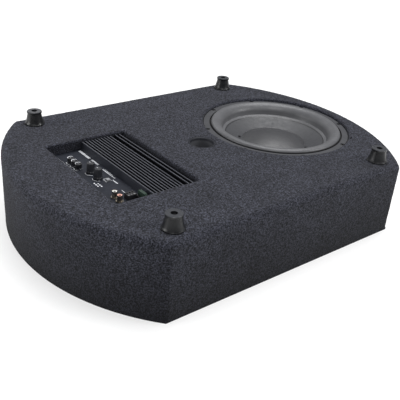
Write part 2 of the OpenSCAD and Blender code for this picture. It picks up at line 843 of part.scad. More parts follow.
// Sprung centre contact: a solid stem with a socket at the top
module rca_contacts() {
    color(gold_colour) for (y = rca_y) translate([rca_x, y, 0]) difference() {
        translate([0, 0, pcb_top]) cylinder(r = 1.9, h = rca_top - 1 - pcb_top);
        translate([0, 0, rca_top - 1 - rca_socket]) cylinder(r = 1.6, h = rca_socket + 1);
    }
}

// Three-way wire terminal: each clamp has a wire hole and a screw side by side, both from above
module at_terminals() {
    for (k = [-1, 0, 1]) translate([terminal_x + k * terminal_pitch, terminal_y, 0]) children();
}

module terminal_block() {
    color(black_plastic) difference() {
        block(terminal_x, terminal_y, terminal_size[0], terminal_size[1],
            panel_top, panel_top + terminal_size[2]);
        at_terminals() {
            block(0, 0, clamp_size[0] + 0.1, clamp_size[1] + 0.1, clamp_base - 0.1, clamp_top + 0.1);
            for (side = [-1, 1]) translate([0, side * wire_y, clamp_base])
                cylinder(r = wire_r, h = 20);
        }
    }
}

module terminal_clamps() {
    color(steel_colour) at_terminals() difference() {
        block(0, 0, clamp_size[0], clamp_size[1], clamp_base, clamp_top);
        translate([0, wire_y, clamp_top - wire_depth]) cylinder(r = 1.5, h = 20);
        translate([0, -wire_y, clamp_base - 1]) cylinder(r = 1.1, h = 20);
    }
}

module terminal_screws() {
    top = panel_top + terminal_size[2] - 0.3;
    color(steel_colour) at_terminals() translate([0, -wire_y, 0]) difference() {
        union() {
            translate([0, 0, clamp_base]) cylinder(r = 1.05, h = top - clamp_base);
            translate([0, 0, top - 1.8]) cylinder(r = 1.6, h = 1.8);
        }
        block(0, 0, 6, 0.6, top - 0.8, top + 1);
    }
}

// Blade fuse standing in a two-slot socket
blade_y = 6.5;
blade_size = [0.7, 5];
fuse_seat = panel_top + 5;

module fuse_socket() {
    color(black_plastic) difference() {
        block(fuse_x, fuse_y, 8, 22, panel_bottom + 2, fuse_seat);
        for (side = [-1, 1])
            block(fuse_x, fuse_y + side * blade_y, blade_size[0] + 0.8, blade_size[1] + 0.8,
                panel_top - 0.2, fuse_seat + 1);
    }
}

module fuse_body() {
    color([0.1, 0.55, 0.3]) difference() {
        union() {
            block(fuse_x, fuse_y, 3.8, 19, fuse_seat + 0.4, fuse_seat + 8);
            block(fuse_x, fuse_y, 5, 15, fuse_seat + 5, fuse_seat + 9);
        }
        for (side = [-1, 1])
            block(fuse_x, fuse_y + side * blade_y, blade_size[0], blade_size[1],
                fuse_seat, fuse_seat + 5);
    }
}

module fuse_blades() {
    color(steel_colour) for (side = [-1, 1])
        block(fuse_x, fuse_y + side * blade_y, blade_size[0], blade_size[1],
            panel_top + 0.2, fuse_seat + 5);
}

baffle_board();
back_board();
front_wall();
rear_wall();
amp_end_wall();
driver_end_wall();
brace_board();
cover_carpet();
bottom_carpet();
recess_carpet();
port_tube();
feet();
foot_washers();
foot_screws();
driver_frame();
driver_gasket();
trim_ring();
driver_screws();
surround();
cone();
dust_cap();
coil_former();
voice_coil();
spider();
top_plate();
magnet();
yoke();
lead_eyelets();
speaker_terminals();
tinsel_leads();
speaker_wires();
amp_panel();
amp_gasket();
heatsink();
amp_chassis();
amp_screws();
circuit_board();
capacitors();
transformer();
power_transistors();
potentiometers();
gain_trimmer();
low_pass_trimmer();
subsonic_trimmer();
bass_boost_knob();
bass_boost_shaft();
phase_knob();
phase_shaft();
switch_body();
switch_slider();
rca_shells();
rca_insulator_white();
rca_insulator_red();
rca_contacts();
terminal_block();
terminal_clamps();
terminal_screws();
fuse_socket();
fuse_body();
fuse_blades();
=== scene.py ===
import json
import math

import bmesh
import bpy
import numpy as np
from mathutils import Matrix, Vector
from mathutils.geometry import delaunay_2d_cdt


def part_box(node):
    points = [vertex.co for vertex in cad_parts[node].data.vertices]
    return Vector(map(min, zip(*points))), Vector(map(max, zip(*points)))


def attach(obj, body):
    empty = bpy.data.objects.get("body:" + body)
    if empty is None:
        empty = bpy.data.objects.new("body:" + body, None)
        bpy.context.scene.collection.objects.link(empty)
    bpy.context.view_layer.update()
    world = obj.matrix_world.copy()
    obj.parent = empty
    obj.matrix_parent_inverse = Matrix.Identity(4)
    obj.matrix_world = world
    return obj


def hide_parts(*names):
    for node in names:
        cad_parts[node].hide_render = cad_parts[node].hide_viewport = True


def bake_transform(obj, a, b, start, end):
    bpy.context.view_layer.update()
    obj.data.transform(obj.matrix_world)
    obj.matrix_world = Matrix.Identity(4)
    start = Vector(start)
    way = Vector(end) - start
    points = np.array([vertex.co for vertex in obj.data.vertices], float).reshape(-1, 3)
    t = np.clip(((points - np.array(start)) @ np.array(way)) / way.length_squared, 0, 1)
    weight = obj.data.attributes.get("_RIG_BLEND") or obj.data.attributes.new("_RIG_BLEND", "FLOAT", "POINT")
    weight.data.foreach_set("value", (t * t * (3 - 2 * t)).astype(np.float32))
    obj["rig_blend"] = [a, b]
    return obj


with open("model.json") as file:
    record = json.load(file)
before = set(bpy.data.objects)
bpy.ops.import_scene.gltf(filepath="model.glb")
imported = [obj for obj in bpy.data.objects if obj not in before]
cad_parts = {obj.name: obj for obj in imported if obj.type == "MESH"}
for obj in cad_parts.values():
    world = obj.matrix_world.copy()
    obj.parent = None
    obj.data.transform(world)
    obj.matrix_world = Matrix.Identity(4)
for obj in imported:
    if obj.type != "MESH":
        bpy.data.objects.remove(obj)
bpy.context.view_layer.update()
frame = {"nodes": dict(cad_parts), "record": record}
nodes = frame["nodes"]
rng = np.random.default_rng(11)
MM = 0.001

# ---------------------------------------------------------------- places, from the CAD


def centre(node):
    """Middle of a node's box at rest."""
    lo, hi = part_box(node)
    return (lo + hi) / 2


def half_across(node):
    """Half of a node's width along X: the radius of a round node."""
    lo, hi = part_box(node)
    return (hi.x - lo.x) / 2


COVER_LO, COVER_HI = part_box("cover_carpet")
TOP = COVER_HI.z                       # upper face of the carpet
HALF_WIDTH = COVER_HI.y
HALF_LENGTH = COVER_HI.x
END_BOW = 0.094                        # how far each end bows out past its corners
END_RADIUS = (HALF_WIDTH ** 2 + END_BOW ** 2) / (2 * END_BOW)
END_SHIFT = END_RADIUS - HALF_LENGTH   # how far each end's centre lies past the middle
CARPET = 0.003                         # the carpet's thickness
BOARD_TOP = TOP - CARPET

DRIVER = centre("trim_ring")
TRIM_OUTER = half_across("trim_ring")
SURROUND_R = half_across("surround")
TRIM_INNER = SURROUND_R + 0.0008       # the trim ring's bore clears the surround
FLANGE_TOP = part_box("trim_ring")[0].z
FLANGE = 0.002                         # thickness of the frame's flange
FLANGE_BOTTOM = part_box("driver_frame")[1].z - FLANGE
CONE_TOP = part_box("cone")[1].z

PORT = centre("port_tube")
PORT_LIP = half_across("port_tube")

RECESS = centre("recess_carpet")
LINING_LO, LINING_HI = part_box("recess_carpet")
LINING = 0.002                         # thickness of the recess's lining
OPENING_X = (LINING_HI.x - LINING_LO.x) / 2 - LINING
OPENING_Y = (LINING_HI.y - LINING_LO.y) / 2 - LINING
PANEL_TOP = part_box("amp_panel")[1].z
SINK_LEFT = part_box("heatsink")[0].x
FIN_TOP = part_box("heatsink")[1].z
FOOT_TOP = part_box("feet")[1].z

# ---------------------------------------------------------------- materials


def scaled(colour, factor):
    """A colour, darker or lighter by a factor."""
    return tuple(channel * factor for channel in colour)


def tones(colour, spread):
    """A darker and a lighter version of a colour."""
    return scaled(colour, 1 - spread), scaled(colour, 1 + spread)


class Shader:
    """A Principled material with a few procedural layers, all in object space."""

    def __init__(self, name, rough, metal=0.0, **sockets):
        self.material = bpy.data.materials.new(name)
        self.material.use_nodes = True
        self.tree = self.material.node_tree
        self.principled = self.tree.nodes["Principled BSDF"]
        self.principled.inputs["Roughness"].default_value = rough
        self.principled.inputs["Metallic"].default_value = metal
        for key, value in sockets.items():
            self.principled.inputs[key.replace("_", " ")].default_value = value
        self.where = self.node("TexCoord", {}).outputs["Object"]
        self.normal = None

    def node(self, kind, sockets, **settings):
        """New node. sockets gives each input a number, a vector or another node's output."""
        node = self.tree.nodes.new("ShaderNode" + kind)
        for key, value in settings.items():
            setattr(node, key, value)
        for key, value in sockets.items():
            if isinstance(value, bpy.types.NodeSocket):
                self.tree.links.new(value, node.inputs[key])
            else:
                node.inputs[key].default_value = value
        return node

    def noise(self, scale, detail, stretch=(1, 1, 1)):
        """Noise with that many features per metre."""
        mapping = self.node("Mapping", {"Vector": self.where, "Scale": stretch})
        noise = self.node("TexNoise", {"Vector": mapping.outputs["Vector"], "Scale": scale,
                                       "Detail": detail})
        return noise.outputs["Fac"]

    def axis(self, letter):
        """Coordinate along X, Y or Z, in metres."""
        return self.node("SeparateXYZ", {0: self.where}).outputs[letter]

    def radius(self, at):
        """Distance from an upright axis, in metres."""
        flat = self.node("VectorMath", {0: self.where, 1: (1, 1, 0)}, operation="MULTIPLY")
        gap = self.node("VectorMath", {0: flat.outputs[0], 1: (at.x, at.y, 0)},
                        operation="DISTANCE")
        return gap.outputs["Value"]

    def math(self, kind, a, b):
        """One operation on two numbers or outputs."""
        return self.node("Math", {0: a, 1: b}, operation=kind).outputs[0]

    def spread(self, source, low, high, start=0.3, end=0.7):
        """Maps the range from start to end to the range from low to high."""
        node = self.node("MapRange", {"Value": source, "From Min": start, "From Max": end,
                                      "To Min": low, "To Max": high})
        return node.outputs["Result"]

    def ramp(self, source, stops):
        """Colour ramp; stops are (place, (r, g, b))."""
        node = self.node("ValToRGB", {"Fac": source})
        elements = node.color_ramp.elements
        while len(elements) < len(stops):
            elements.new(0.5)
        for element, (place, colour) in zip(elements, stops):
            element.position = place
            element.color = (*colour, 1)
        return node.outputs["Color"]

    def mix(self, factor, body, colour):
        """From a body's colour at a factor of 0 to another colour at 1."""
        return self.node("Mix", {0: factor, 6: body, 7: (*colour, 1)},
                         data_type="RGBA").outputs[2]

    def shade(self, colour, factor):
        """A colour output times a factor."""
        return self.node("VectorMath", {0: colour, "Scale": factor},
                         operation="SCALE").outputs[0]

    def colour(self, source):
        """Feeds the surface's colour."""
        self.tree.links.new(source, self.principled.inputs["Base Color"])

    def roughness(self, source):
        """Feeds the surface's roughness."""
        self.tree.links.new(source, self.principled.inputs["Roughness"])

    def bump(self, source, depth, strength=1.0):
        """Adds relief, in metres, on top of the relief so far."""
        sockets = {"Height": source, "Distance": depth, "Strength": strength}
        if self.normal is not None:
            sockets["Normal"] = self.normal
        self.normal = self.node("Bump", sockets).outputs["Normal"]
        self.tree.links.new(self.normal, self.principled.inputs["Normal"])

    def lit_top(self, body, tone, top, depth):
        """Colours a body paler within a depth of its top, as painted light on the top."""
        tip = self.spread(self.axis("Z"), 0.0, 1.0, top - depth, top - depth / 9)
        tip = self.math("MULTIPLY", tip, self.spread(self.noise(160, 2), 0.75, 1.0))
        self.colour(self.mix(tip, body, tone))


def carpet(name, base):
    """Short speckled pile with faint patches, and painted shade that makes it darker down the walls."""
    shader = Shader(name, rough=0.95, Sheen_Weight=0.05, Sheen_Roughness=0.6,
                    Specular_IOR_Level=0.08)
    fine, tuft, clump = shader.noise(1100, 2), shader.noise(470, 3), shader.noise(250, 2)
    fibre = shader.math("MULTIPLY", fine, 0.32)
    for layer, share in ((tuft, 0.58), (clump, 0.10)):
        fibre = shader.math("ADD", fibre, shader.math("MULTIPLY", layer, share))
    speckle = shader.ramp(fibre, [(0.41, scaled(base, 0.20)), (0.50, base),
                                  (0.61, scaled(base, 2.9))])
    # painted shade: the pile is painted darker towards the ground, down the walls
    wall_shade = shader.spread(shader.axis("Z"), 0.36, 1.0, 0.0, TOP - 0.006)
    patch = shader.spread(shader.noise(16, 2), 0.86, 1.14)
    shader.colour(shader.shade(speckle, shader.math("MULTIPLY", wall_shade, patch)))
    shader.bump(tuft, 0.0010, 0.8)
    shader.bump(fine, 0.0005, 0.8)
    return shader.material


def plain(name, base, rough, metal=0.0, spread=0.12, grain=500, depth=0.00004, **sockets):
    """Moulded, painted or plated surface: slight mottling, uneven gloss, fine grain."""
    shader = Shader(name, rough, metal, **sockets)
    dark, light = tones(base, spread)
    shader.colour(shader.ramp(shader.noise(60, 4), [(0.35, dark), (0.65, light)]))
    shader.roughness(shader.spread(shader.noise(140, 3), rough - 0.08, rough + 0.08))
    if depth:
        shader.bump(shader.noise(grain, 2), depth)
    return shader.material


def fin_metal(name):
    """Black anodised extrusion with die lines along it; painted light makes its outer side face and its fin
    tips paler.
    """
    shader = Shader(name, rough=0.42, metal=0.55)
    lines = shader.noise(900, 2, (1, 0.02, 1))
    body = shader.ramp(lines, [(0.3, (0.007, 0.0075, 0.010)), (0.7, (0.014, 0.0145, 0.019))])
    # painted light: the outer side face, which lies in shade, is painted paler
    lit_side_face = shader.spread(shader.axis("X"), 1.0, 0.0, SINK_LEFT + 0.0022, SINK_LEFT + 0.0026)
    body = shader.mix(lit_side_face, body, (0.034, 0.037, 0.048))
    # painted light: the fin tips are painted paler, as a highlight along their tops
    shader.lit_top(body, (0.085, 0.088, 0.105), FIN_TOP, 0.0009)
    shader.roughness(shader.spread(shader.noise(240, 2, (1, 0.05, 1)), 0.34, 0.5))
    shader.bump(lines, 0.00003)
    return shader.material


def foot_rubber(name):
    """Moulded rubber, with its flat end painted paler as painted light."""
    shader = Shader(name, rough=0.34, Specular_IOR_Level=0.35)
    body = shader.ramp(shader.noise(70, 4), [(0.35, (0.0075, 0.008, 0.009)),
                                             (0.65, (0.0115, 0.012, 0.0135))])
    # painted light: the flat end is painted paler, as lit from above
    shader.lit_top(body, (0.040, 0.042, 0.048), FOOT_TOP, 0.0012)
    shader.roughness(shader.spread(shader.noise(150, 3), 0.26, 0.42))
    shader.bump(shader.noise(900, 2), 0.00005)
    return shader.material


def ring_rubber(name, base, rough, seams):
    """Rubber ring round the driver, with painted shade where it meets its neighbours. Each seam is
    (radius where its painted shade begins, how far on the shade is full), in metres."""
    shader = Shader(name, rough, Specular_IOR_Level=0.3)
    dark, light = tones(base, 0.06)
    body = shader.ramp(shader.noise(60, 4), [(0.35, dark), (0.65, light)])
    radius = shader.radius(DRIVER)
    gloss = shader.spread(shader.noise(140, 3), rough - 0.06, rough + 0.06)
    # painted shade: each seam darkens the rubber where it meets the next part
    for start, reach in seams:
        seam_shade = shader.spread(radius, 0.0, 1.0, start, start + reach)
        body = shader.mix(seam_shade, body, (0.002, 0.002, 0.0025))
        gloss = shader.math("MAXIMUM", gloss, shader.math("MULTIPLY", seam_shade, 0.9))
    shader.colour(body)
    shader.roughness(gloss)
    shader.bump(shader.noise(1300, 2), 0.00004)
    return shader.material


def port_plastic(name):
    """Moulded port: a dark lip, and painted light that makes it paler down the bore."""
    shader = Shader(name, rough=0.5, Specular_IOR_Level=0.15)
    body = shader.ramp(shader.noise(60, 3), [(0.35, (0.013, 0.014, 0.018)),
                                             (0.65, (0.018, 0.019, 0.024))])
    # painted light: the bore is painted paler below the lip
    lit_bore = shader.spread(shader.axis("Z"), 1.0, 0.0, TOP - 0.007, TOP - 0.003)
    shader.colour(shader.mix(lit_bore, body, (0.082, 0.084, 0.093)))
    shader.roughness(shader.spread(shader.noise(140, 3), 0.46, 0.6))
    shader.bump(shader.noise(300, 2), 0.00002)
    return shader.material


def wood(name, base):
    """Fibreboard: fine, even fibres."""
    shader = Shader(name, rough=0.75)
    dark, light = tones(base, 0.18)
    shader.colour(shader.ramp(shader.noise(900, 4), [(0.35, dark), (0.65, light)]))
    shader.bump(shader.noise(1500, 2), 0.0001)
    return shader.material


def woven(name, base):
    """Stiffened cloth with raised threads."""
    shader = Shader(name, rough=0.85, Sheen_Weight=0.2)
    threads = shader.node("TexWave", {"Vector": shader.where, "Scale": 450}).outputs["Fac"]
    dark, light = tones(base, 0.3)
    shader.colour(shader.ramp(threads, [(0.1, dark), (0.9, light)]))
    shader.bump(threads, 0.0002)
    return shader.material


SEAM_SHADE = 0.0008                          # how far the painted shade reaches out of a seam
paint = {
    "carpet": carpet("carpet", (0.0195, 0.0205, 0.0270)),
    "board": wood("board", (0.45, 0.32, 0.20)),
    "rubber_feet": foot_rubber("rubber_feet"),
    "trim_rubber": ring_rubber(
        "trim_rubber", (0.047, 0.048, 0.053), 0.46,
        [(TRIM_INNER + 0.0014, -SEAM_SHADE), (TRIM_OUTER - 0.0014, SEAM_SHADE)]),
    "surround_rubber": ring_rubber(
        "surround_rubber", (0.094, 0.095, 0.101), 0.40, [(SURROUND_R - 0.0019, SEAM_SHADE)]),
    "cone_pulp": plain("cone_pulp", (0.030, 0.031, 0.0355), 0.54, spread=0.08, grain=700,
                       depth=0.00006),
    "cap_plastic": plain("cap_plastic", (0.030, 0.0305, 0.034), 0.46, spread=0.06,
                         grain=1500, depth=0.00002),
    "spider_cloth": woven("spider_cloth", (0.5, 0.4, 0.2)),
    "black_steel": plain("black_steel", (0.018, 0.018, 0.02), 0.45, grain=1200),
    "zinc_steel": plain("zinc_steel", (0.55, 0.55, 0.57), 0.32, 1.0, spread=0.1),
    "black_screw": plain("black_screw", (0.012, 0.012, 0.013), 0.35, 0.4),
    "ferrite": plain("ferrite", (0.06, 0.06, 0.065), 0.6),
    "copper": plain("copper", (0.72, 0.33, 0.15), 0.3, 1.0, grain=2500, depth=0.0001),
    "former_film": plain("former_film", (0.55, 0.5, 0.42), 0.35, 0.9),
    "black_plastic": plain("black_plastic", (0.014, 0.014, 0.016), 0.45, grain=1300),
    "gloss_black": port_plastic("gloss_black"),
    "anodised": fin_metal("anodised"),
    "panel_black": plain("panel_black", (0.013, 0.015, 0.022), 0.65, grain=2200,
                         depth=0.00003, Specular_IOR_Level=0.2),
    "knob_black": plain("knob_black", (0.0145, 0.0155, 0.0200), 0.42, grain=1800),
    "gold": plain("gold", (0.33, 0.30, 0.26), 0.34, 1.0, spread=0.08),
    "white_plastic": plain("white_plastic", (0.80, 0.80, 0.77), 0.35, spread=0.03),
    "red_plastic": plain("red_plastic", (0.76, 0.40, 0.33), 0.35, spread=0.08),
    "green_fuse": plain("green_fuse", (0.008, 0.026, 0.016), 0.5, spread=0.1),
    "board_green": plain("board_green", (0.02, 0.12, 0.05), 0.4),
    "sleeve_blue": plain("sleeve_blue", (0.02, 0.03, 0.09), 0.35),
    "wire_red": plain("wire_red", (0.4, 0.02, 0.02), 0.5),
    "foam": plain("foam", (0.02, 0.02, 0.02), 0.9, grain=1500, depth=0.0003),
}
PRINT_GREY = plain("print_grey", (0.22, 0.225, 0.24), 0.55, spread=0.2, grain=1500,
                   depth=0.00003)
# pale print, and the painted highlight on the trimmers' rims
PRINT_AND_HIGHLIGHT_WHITE = plain("print_and_highlight_white", (0.50, 0.51, 0.54), 0.55, spread=0.3, grain=1500,
                    depth=0.00003)
SLIDER_GREY = plain("slider_grey", (0.24, 0.245, 0.26), 0.4, spread=0.1)

node_slots = {part["node"]: part["material_slot"] for part in frame["record"]["subparts"]}
for node_name, obj in nodes.items():
    obj.data.materials.clear()
    obj.data.materials.append(paint[node_slots[node_name]])
nodes["switch_slider"].data.materials[0] = SLIDER_GREY
nodes["lead_eyelets"].data.materials[0] = paint["black_screw"]

# ---------------------------------------------------------------- mesh helpers

TOUCHING = 1e-7                        # points closer than this are one point


def finish_mesh(name, bm, materials, body, slot, smooth_angle=38, bend=None):
    """Makes the piece from a bmesh: welds it, turns its faces outward, smooths it, and
    rides it on a body. With bend, a weight for each point, it flexes with the cone."""
    bmesh.ops.remove_doubles(bm, verts=bm.verts, dist=TOUCHING)
    bmesh.ops.recalc_face_normals(bm, faces=bm.faces)
    limit = math.radians(smooth_angle)
    for face in bm.faces:
        face.smooth = True
    for edge in bm.edges:
        edge.smooth = not (len(edge.link_faces) == 2 and edge.calc_face_angle(0) > limit)
    mesh = bpy.data.meshes.new(name)
    bm.to_mesh(mesh)
    bm.free()
    for material in materials:
        mesh.materials.append(material)
    obj = bpy.data.objects.new(name, mesh)
    bpy.context.scene.collection.objects.link(obj)
    if bend is None:
        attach(obj, body)
    else:
        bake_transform(obj, "enclosure", "cone_body", start=(0, 0, 0), end=(0, 0, 1))
        points = np.array([v.co for v in mesh.vertices])
        mesh.attributes["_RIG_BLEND"].data.foreach_set("value", bend(points).astype(np.float32))
    return obj


def revolve(name, profiles, at, body, slot, segments, flute=None, bend=None, smooth_angle=38):
    """Turned piece. profiles is a list of (material, closed list of (r, z)) in metres;
    flute(r, z, angle) gives the radius at an angle."""
    bm = bmesh.new()
    for index, (_, profile) in enumerate(profiles):
        rings = []
        for k in range(segments):
            a = 2 * math.pi * k / segments
            radii = [flute(r, z, a) if flute else r for r, z in profile]
            rings.append([bm.verts.new((at.x + r * math.cos(a), at.y + r * math.sin(a), z))
                          for r, (_, z) in zip(radii, profile)])
        for k in range(segments):
            one, two = rings[k], rings[(k + 1) % segments]
            for i in range(len(profile)):
                j = (i + 1) % len(profile)
                on_axis = [profile[n][0] < TOUCHING for n in (i, j)]
                if all(on_axis):
                    continue
                corners = [one[i], two[i], two[j], one[j]]
                if any(on_axis):
                    corners.pop(1 if on_axis[0] else 2)
                bm.faces.new(corners).material_index = index
    materials = [material for material, _ in profiles]
    return finish_mesh(name, bm, materials, body, slot, smooth_angle, bend)


def mm(profile, z0):
    """Profile in millimetres, its heights measured from z0 metres, as metres."""
    return [(r * MM, z0 + z * MM) for r, z in profile]


def rectangle(x, y, sx, sy):
    """Corners of a rectangle from its lowest corner."""
    return [(x, y), (x + sx, y), (x + sx, y + sy), (x, y + sy)]


def scale_arc(at, radius, width, start, end):
    """A band round a control, in millimetres and degrees."""
    angles = np.radians(np.linspace(start, end, 14))
    outer = [(at.x + (radius + width) * math.cos(a) * MM,
              at.y + (radius + width) * math.sin(a) * MM) for a in angles]
    inner = [(at.x + radius * math.cos(a) * MM, at.y + radius * math.sin(a) * MM)
             for a in angles[::-1]]
    return outer + inner


def plates(outlines, z0, z1):
    """Flat plates with the given outlines, as one bmesh."""
    bm = bmesh.new()
    for outline in outlines:
        low = [bm.verts.new((x, y, z0)) for x, y in outline]
        high = [bm.verts.new((x, y, z1)) for x, y in outline]
        bm.faces.new(high)
        bm.faces.new(low[::-1])
        for i in range(len(outline)):
            j = (i + 1) % len(outline)
            bm.faces.new([low[i], low[j], high[j], high[i]])
    return bm


# ---------------------------------------------------------------- carpet

EDGE = 0.011          # radius of the carpet's outer edge
CORNER = 0.012        # radius of the upright corners in plan
STEP = 0.003          # spacing of the carpet's mesh
PILE = 0.00025        # how uneven the pile is
SKIRT = 0.0006        # carpet's thickness where it turns down beside the trim ring
ROUND = 0.0042        # radius of the carpet's edge round the driver
PORT_ROUND = 0.0012   # radius of the carpet's edge round the port
LIP = 0.003           # radius of the carpet's edge round the recess, and of its corners
RING_GAP = 0.001      # between the trim ring and the driver's opening in the board
DRIVER_HOLE = TRIM_OUTER + RING_GAP - SKIRT
PORT_HOLE = PORT_LIP + 0.0002
SHIFT = 0.25          # most that a point of the mesh lies off its grid, as a share of STEP
CORNER_GAP = 0.001    # further room that the grid leaves at the upright corners
SLACK = 0.0001        # room for rounding where triangles meet an opening's edge


def box_outline():
    """Points and outward normals round the box, seen from above, anticlockwise."""
    cy = HALF_WIDTH - CORNER
    cx = -END_SHIFT + math.sqrt((END_RADIUS - CORNER) ** 2 - cy ** 2)
    turn = math.atan2(cy, cx + END_SHIFT)
    half, full = math.pi / 2, math.pi
    runs = []

    def arc(x, y, radius, start, end, steps):
        for a in np.linspace(start, end, steps, endpoint=False):
            n = (math.cos(a), math.sin(a))
            runs.append((x + radius * n[0], y + radius * n[1], *n))

    def end_bow(x, start, end):
        arc(x, 0, END_RADIUS, start, end, round((end - start) * END_RADIUS / STEP))

    def line(x0, x1, y, side):
        for x in np.linspace(x0, x1, round(abs(x1 - x0) / STEP), endpoint=False):
            runs.append((x, y, 0.0, side))

    end_bow(-END_SHIFT, -turn, turn)
    arc(cx, cy, CORNER, turn, half, 5)
    line(cx, -cx, HALF_WIDTH, 1.0)
    arc(-cx, cy, CORNER, half, full - turn, 5)
    end_bow(END_SHIFT, full - turn, full + turn)
    arc(-cx, -cy, CORNER, full + turn, 3 * half, 5)
    line(-cx, cx, -HALF_WIDTH, -1.0)
    arc(cx, -cy, CORNER, 3 * half, 2 * full - turn, 5)
    return np.array(runs)


def circle_outline(at, radius):
    """Circle with outward normals, anticlockwise."""
    count = round(2 * math.pi * radius / STEP)
    a = np.linspace(0, 2 * math.pi, count, endpoint=False)
    return np.stack([at.x + radius * np.cos(a), at.y + radius * np.sin(a),
                     np.cos(a), np.sin(a)], 1)


def recess_outline():
    """The recess's rounded rectangle with outward normals, anticlockwise."""
    hx, hy = OPENING_X - LIP, OPENING_Y - LIP
    corners = [(RECESS.x + sx * hx, RECESS.y + sy * hy)
               for sx, sy in ((1, 1), (-1, 1), (-1, -1), (1, -1))]
    out = []
    for quarter, (cx, cy) in enumerate(corners):
        next_x, next_y = corners[(quarter + 1) % 4]
        start = quarter * math.pi / 2
        end = start + math.pi / 2
        for a in np.linspace(start, end, 5):
            n = (math.cos(a), math.sin(a))
            out.append((cx + LIP * n[0], cy + LIP * n[1], *n))
        n = (math.cos(end), math.sin(end))
        from_x, from_y = out[-1][:2]
        to_x, to_y = next_x + LIP * n[0], next_y + LIP * n[1]
        steps = round(math.hypot(to_x - from_x, to_y - from_y) / STEP)
        for t in np.linspace(0, 1, steps, endpoint=False)[1:]:
            out.append((from_x + (to_x - from_x) * t, from_y + (to_y - from_y) * t, *n))
    return np.array(out)


def moved(outline, offset, z):
    """Ring of points: an outline pushed out along its normals, at a height."""
    ring = np.empty((len(outline), 3))
    ring[:, :2] = outline[:, :2] + offset * outline[:, 2:]
    ring[:, 2] = z
    return ring


def level(outline):
    """An outline's normals as level 3-D vectors."""
    return np.concatenate([outline[:, 2:], np.zeros((len(outline), 1))], 1)


class Sheet:
    """Collects rings of points and joins them into one closed mesh."""

    def __init__(self):
        self.points = []
        self.faces = []
        self.count = 0

    def ring(self, points, push=None):
        """Adds points, each pushed at random up to push or back, and returns their numbers."""
        if push is not None:
            points = points + push * rng.uniform(-1, 1, (len(points), 1))
        self.points.append(points)
        first = self.count
        self.count += len(points)
        return np.arange(first, self.count)

    def join(self, *rings):
        """Joins each ring to the next with a band of faces."""
        for a, b in zip(rings, rings[1:]):
            self.faces.extend(np.stack([a, np.roll(a, -1), np.roll(b, -1), b], 1).tolist())

    def bmesh(self):
        """The whole sheet as a bmesh."""
        bm = bmesh.new()
        verts = [bm.verts.new(p) for p in np.concatenate(self.points)]
        for face in self.faces:
            bm.faces.new([verts[i] for i in face])
        return bm


def cover_walls(sheet):
    """The walls and the rolled outer edge. Returns the loops of points where the flat
    top begins, above and below."""
    outline = box_outline()
    out = level(outline)
    up = np.array([0.0, 0.0, 1.0])
    outer = []
    for z in np.arange(COVER_LO.z, TOP - EDGE - STEP / 2, STEP):
        push = PILE * out if z > COVER_LO.z else None
        outer.append(sheet.ring(moved(outline, -PILE, z), push))
    for a in np.linspace(0, math.pi / 2, 7):
        inset = EDGE * (1 - math.cos(a)) + PILE * math.cos(a)
        z = TOP - EDGE + (EDGE - PILE) * math.sin(a)
        push = PILE * (out * math.cos(a) + up * math.sin(a))
        outer.append(sheet.ring(moved(outline, -inset, z), push))
    inner = [sheet.ring(moved(outline, -CARPET, COVER_LO.z))]
    for a in np.linspace(0, math.pi / 2, 5):
        inset = CARPET + (EDGE - CARPET) * (1 - math.cos(a))
        z = TOP - EDGE + (EDGE - CARPET) * math.sin(a)
        inner.append(sheet.ring(moved(outline, -inset, z)))
    sheet.join(*outer)
    sheet.join(*inner)
    sheet.join(outer[0], inner[0])
    return outer[-1], inner[-1]


def cover_opening(sheet, hole, lip, depth):
    """A lip that rolls down into an opening, to a depth. Returns the loops of points
    where it leaves the flat top, above and below."""
    rolled = []
    for a in np.linspace(math.pi / 2, 0, 5):
        z = TOP - PILE - lip + lip * math.sin(a)
        rolled.append(sheet.ring(moved(hole, lip * (1 - math.cos(a)), z)))
    under = sheet.ring(moved(hole, lip, BOARD_TOP))
    down = [sheet.ring(moved(hole, 0, depth))]
    if depth < BOARD_TOP:
        down += [sheet.ring(moved(hole, SKIRT, z)) for z in (depth, BOARD_TOP)]
    sheet.join(*rolled, *down, under)
    return rolled[0], under


def inside_edge(p, inset):
    """True where a point seen from above is further than an inset inside the outer edge."""
    ok = np.abs(p[:, 1]) < HALF_WIDTH - inset
    for side in (-1, 1):
        ok &= np.hypot(p[:, 0] - side * END_SHIFT, p[:, 1]) < END_RADIUS - inset
    corner_sum = HALF_LENGTH - END_BOW + HALF_WIDTH - EDGE
    away_from_corner = np.abs(p[:, 0]) + np.abs(p[:, 1]) < corner_sum
    return ok & (away_from_corner | (np.abs(p[:, 1]) < HALF_WIDTH - inset - CORNER_GAP))


def outside_openings(p, margin):
    """True where a point seen from above clears the lip of every opening by a margin."""
    beyond = np.abs(p - [RECESS.x, RECESS.y]) - [OPENING_X - LIP, OPENING_Y - LIP]
    past_recess = np.hypot(*np.maximum(beyond, 0).T) + np.minimum(beyond.max(1), 0) - LIP
    past_driver = np.hypot(p[:, 0] - DRIVER.x, p[:, 1] - DRIVER.y) - DRIVER_HOLE
    past_port = np.hypot(p[:, 0] - PORT.x, p[:, 1] - PORT.y) - PORT_HOLE
    return ((past_driver > ROUND + margin) & (past_port > PORT_ROUND + margin)
            & (past_recess > LIP + margin))


